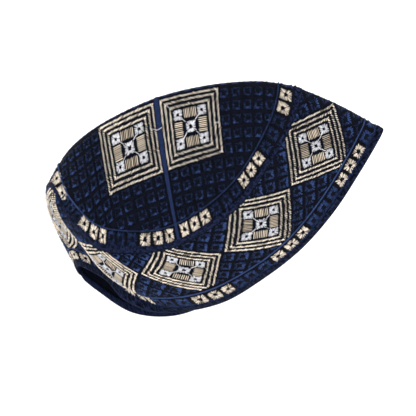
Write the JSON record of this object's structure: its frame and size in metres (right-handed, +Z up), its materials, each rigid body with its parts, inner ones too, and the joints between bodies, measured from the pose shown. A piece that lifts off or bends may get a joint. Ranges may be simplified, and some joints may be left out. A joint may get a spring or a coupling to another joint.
{
  "type": "kufi cap",
  "caption": "Soft brimless embroidered kufi cap lying folded on its side, with an oval crown, a tall band, a bound rim and an open hollow for the head.",
  "frame": {"origin": "middle of the footprint of the cap as it lies, on the floor", "axes": "+X toward the pinched front of the band, +Y toward the folded ridge of the crown, +Z up"},
  "size_m": [0.2312, 0.1594, 0.0798],
  "materials": {
    "embroidered_cloth": "matt dark navy cloth, closely embroidered in blue, gold, tan and white thread",
    "navy_tape": "matt navy woven tape"
  },
  "bodies": {
    "root": {"crown_front": "embroidered_cloth", "crown_back": "embroidered_cloth", "crown_seam_tape": "navy_tape", "crown_welt": "navy_tape", "band": "embroidered_cloth", "rim_binding": "navy_tape"}
  },
  "joints": []
}
